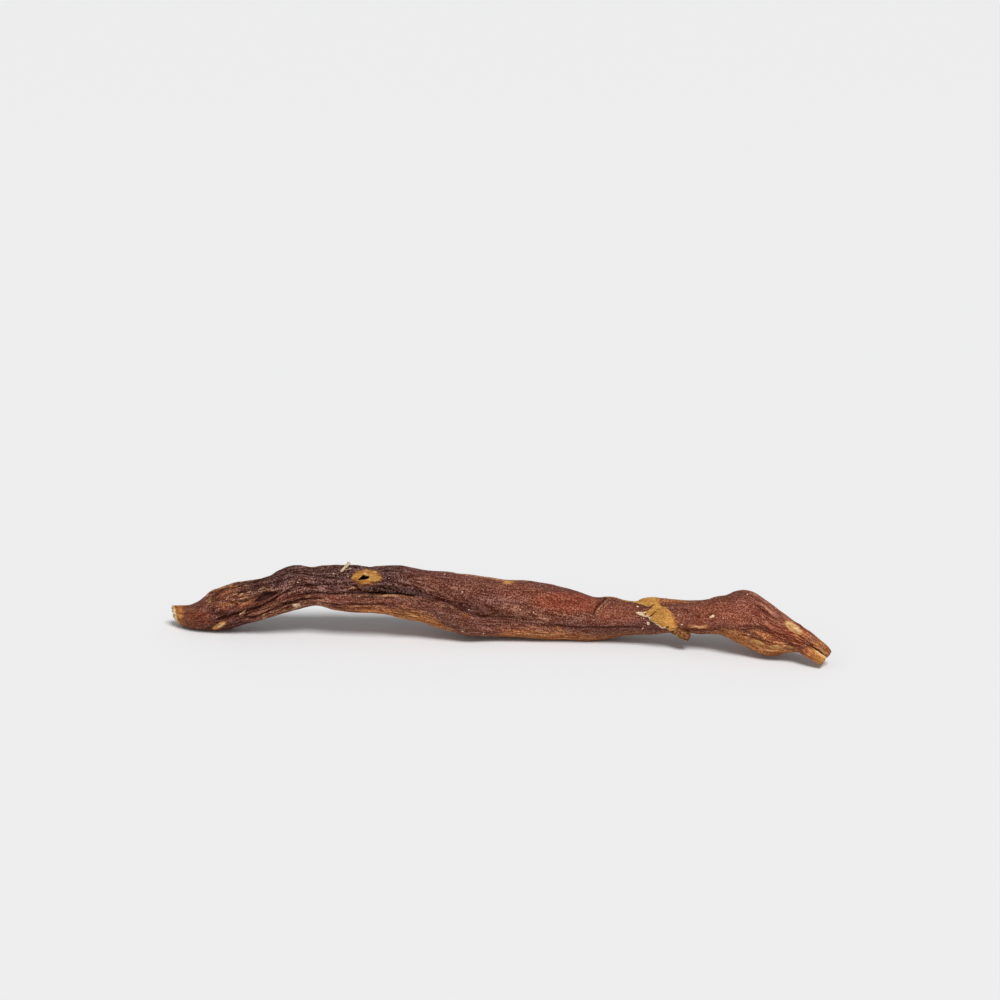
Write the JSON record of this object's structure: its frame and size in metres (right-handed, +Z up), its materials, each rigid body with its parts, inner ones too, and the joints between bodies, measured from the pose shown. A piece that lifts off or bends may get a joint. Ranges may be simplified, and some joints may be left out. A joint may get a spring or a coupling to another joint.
{
  "type": "chinese asparagus root",
  "caption": "One whole dried Chinese asparagus root lying on its side: a long wrinkled reddish-brown tuber with an arched thick end, a healed break and a pointed end with its bare core.",
  "frame": {"origin": "middle of the bounding box, on the surface that the root lies on", "axes": "+X along the root towards its pointed end, +Z up, -Y towards the side that the picture shows"},
  "size_m": [0.129, 0.0238, 0.0135],
  "materials": {
    "dried_skin": "dark reddish-brown dried root skin, half matt with fine wrinkles, amber where it is thin"
  },
  "bodies": {
    "root": {"asparagus_root": "dried_skin"}
  },
  "joints": []
}
